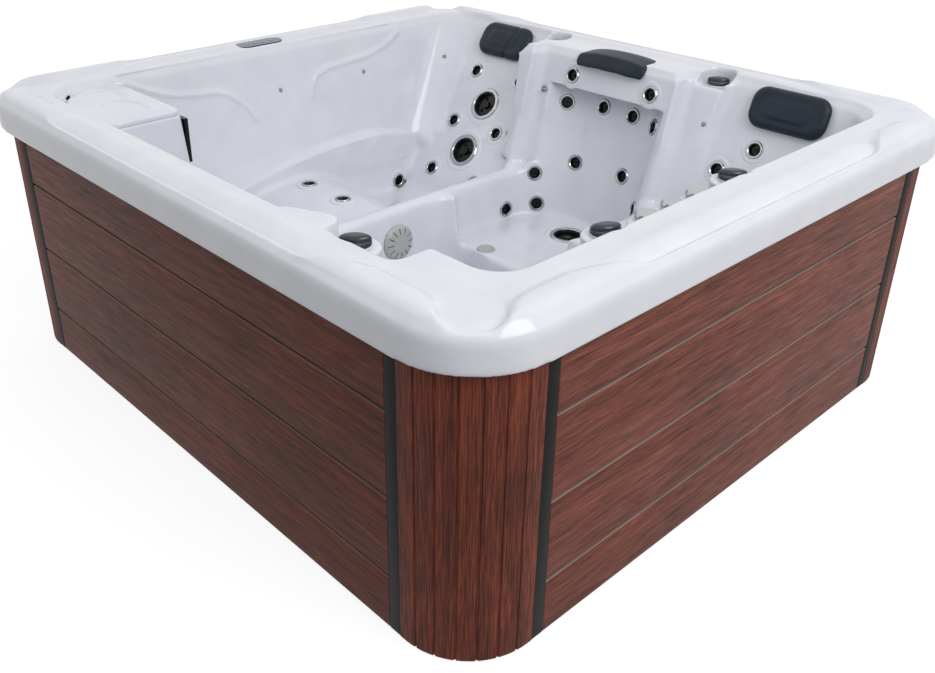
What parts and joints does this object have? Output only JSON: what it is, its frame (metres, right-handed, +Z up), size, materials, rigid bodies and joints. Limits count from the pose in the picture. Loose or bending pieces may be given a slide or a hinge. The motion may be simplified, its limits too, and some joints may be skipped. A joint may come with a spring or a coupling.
{
  "type": "hot tub",
  "caption": "Six-person portable hot tub: moulded acrylic shell with lounger, seats and jets in a wood-grain boarded cabinet, with pumps, heater and filters inside.",
  "frame": {"origin": "centre of the footprint at floor level", "axes": "+X along the long side towards the end opposite the control panel, +Y along the short side towards the pillows, +Z up"},
  "size_m": [2.2, 2, 0.85],
  "materials": {
    "acrylic": "gloss",
    "pan_plastic": "matte",
    "frame_timber": "matte",
    "cabinet_boards": "wood grain embossed",
    "corner_slats": "wood grain embossed",
    "strip_plastic": "satin",
    "foam": "matte",
    "jet_metal": "polished",
    "jet_black": "satin",
    "pipe_plastic": "satin",
    "lens": "clear",
    "fitting_grey": "satin",
    "filter_fleece": "matte",
    "knob_grey": "satin",
    "panel_grey": "satin",
    "button_grey": "satin",
    "pillow_foam": "soft satin",
    "motor_paint": "satin",
    "steel": "satin"
  },
  "bodies": {
    "tub": {"acrylic_shell": "acrylic", "base_pan": "pan_plastic", "frame_posts": "frame_timber", "top_rails": "frame_timber", "bottom_rails": "frame_timber", "front_boards": "cabinet_boards", "back_boards": "cabinet_boards", "left_boards": "cabinet_boards", "right_boards": "cabinet_boards", "front_right_corner": "corner_slats", "front_left_corner": "corner_slats", "back_right_corner": "corner_slats", "back_left_corner": "corner_slats", "corner_strips": "strip_plastic", "shell_supports": "foam", "small_jet_rings": "jet_metal", "small_jet_nozzles": "jet_black", "small_jet_bodies": "pipe_plastic", "large_jet_rings": "jet_metal", "large_jet_bodies": "pipe_plastic", "wall_lights": "lens", "suction_covers": "fitting_grey", "drain_fittings": "fitting_grey", "filter_cartridges": "filter_fleece", "skimmer_frame": "jet_black", "diverter_valves": "pipe_plastic", "air_valves": "pipe_plastic", "control_panel": "panel_grey", "lounger_pillow": "pillow_foam", "corner_pillow": "pillow_foam", "centre_pillow": "pillow_foam", "pump_1_motor": "motor_paint", "pump_1_wet_end": "pipe_plastic", "pump_2_motor": "motor_paint", "pump_2_wet_end": "pipe_plastic", "control_box": "motor_paint", "ozonator": "motor_paint", "heater": "steel", "water_pipes": "pipe_plastic"},
    "upper_lounger_rotor": {"upper_lounger_rotor": "jet_black"},
    "lower_lounger_rotor": {"lower_lounger_rotor": "jet_black"},
    "seat_jet_rotor": {"seat_jet_rotor": "jet_black"},
    "filter_lid": {"filter_lid": "acrylic"},
    "weir_door": {"weir_door": "jet_black"},
    "diverter_knob_1": {"diverter_knob_1": "knob_grey"},
    "diverter_knob_2": {"diverter_knob_2": "knob_grey"},
    "diverter_knob_3": {"diverter_knob_3": "knob_grey"},
    "diverter_knob_4": {"diverter_knob_4": "knob_grey"},
    "diverter_knob_5": {"diverter_knob_5": "knob_grey"},
    "air_knob_1": {"air_knob_1": "jet_metal"},
    "air_knob_2": {"air_knob_2": "jet_metal"},
    "air_knob_3": {"air_knob_3": "jet_metal"},
    "panel_button_1": {"panel_button_1": "button_grey"},
    "panel_button_2": {"panel_button_2": "button_grey"},
    "panel_button_3": {"panel_button_3": "button_grey"},
    "panel_button_4": {"panel_button_4": "button_grey"},
    "pump_1_rotor": {"pump_1_rotor": "steel"},
    "pump_2_rotor": {"pump_2_rotor": "steel"}
  },
  "joints": [
    {"name": "diverter_turn_1", "type": "hinge", "parent": "tub", "child": "diverter_knob_1", "pos_m": [0.5643, -0.82, 0.8073], "axis": [0, 0, 1], "range_deg": [0, 180]},
    {"name": "diverter_turn_2", "type": "hinge", "parent": "tub", "child": "diverter_knob_2", "pos_m": [0.887, -0.38, 0.8073], "axis": [0, 0, 1], "range_deg": [0, 180]},
    {"name": "diverter_turn_3", "type": "hinge", "parent": "tub", "child": "diverter_knob_3", "pos_m": [0.887, 0.12, 0.8073], "axis": [0, 0, 1], "range_deg": [0, 180]},
    {"name": "diverter_turn_4", "type": "hinge", "parent": "tub", "child": "diverter_knob_4", "pos_m": [0.357, 0.875, 0.7973], "axis": [0, 0, 1], "range_deg": [0, 180]},
    {"name": "diverter_turn_5", "type": "hinge", "parent": "tub", "child": "diverter_knob_5", "pos_m": [-0.348, 0.875, 0.7973], "axis": [0, 0, 1], "range_deg": [0, 180]},
    {"name": "air_turn_1", "type": "hinge", "parent": "tub", "child": "air_knob_1", "pos_m": [0.855, -0.175, 0.7713], "axis": [0, 0, 1], "range_deg": [0, 120]},
    {"name": "air_turn_2", "type": "hinge", "parent": "tub", "child": "air_knob_2", "pos_m": [0.855, -0.072, 0.7713], "axis": [0, 0, 1], "range_deg": [0, 120]},
    {"name": "air_turn_3", "type": "hinge", "parent": "tub", "child": "air_knob_3", "pos_m": [0.855, 0.031, 0.7713], "axis": [0, 0, 1], "range_deg": [0, 120]},
    {"name": "upper_lounger_spin", "type": "hinge", "parent": "tub", "child": "upper_lounger_rotor", "pos_m": [-0.563, 0.7154, 0.55771], "axis": [0, -0.8192, 0.5735], "continuous": true},
    {"name": "lower_lounger_spin", "type": "hinge", "parent": "tub", "child": "lower_lounger_rotor", "pos_m": [-0.563, 0.60148, 0.39497], "axis": [0, -0.8192, 0.5735], "continuous": true},
    {"name": "seat_jet_spin", "type": "hinge", "parent": "tub", "child": "seat_jet_rotor", "pos_m": [0.007, 0.57712, 0.222], "axis": [0, 0, 1], "continuous": true},
    {"name": "pump_1_spin", "type": "hinge", "parent": "tub", "child": "pump_1_rotor", "pos_m": [0.728, -0.72, 0.145], "axis": [0, 1, 0], "continuous": true},
    {"name": "pump_2_spin", "type": "hinge", "parent": "tub", "child": "pump_2_rotor", "pos_m": [0.728, 0.14, 0.145], "axis": [0, 1, 0], "continuous": true},
    {"name": "weir_tilt", "type": "hinge", "parent": "tub", "child": "weir_door", "pos_m": [-0.7147, -0.58313, 0.663], "axis": [1, 0, 0], "range_deg": [0, 60]},
    {"name": "lid_lift", "type": "slide", "parent": "tub", "child": "filter_lid", "axis": [0, 0, 1], "range_m": [0, 0.25]},
    {"name": "button_press_1", "type": "slide", "parent": "tub", "child": "panel_button_1", "axis": [0, 0, -1], "range_m": [0, 0.0008], "stiffness_N_per_m": 200},
    {"name": "button_press_2", "type": "slide", "parent": "tub", "child": "panel_button_2", "axis": [0, 0, -1], "range_m": [0, 0.0008], "stiffness_N_per_m": 200},
    {"name": "button_press_3", "type": "slide", "parent": "tub", "child": "panel_button_3", "axis": [0, 0, -1], "range_m": [0, 0.0008], "stiffness_N_per_m": 200},
    {"name": "button_press_4", "type": "slide", "parent": "tub", "child": "panel_button_4", "axis": [0, 0, -1], "range_m": [0, 0.0008], "stiffness_N_per_m": 200}
  ]
}
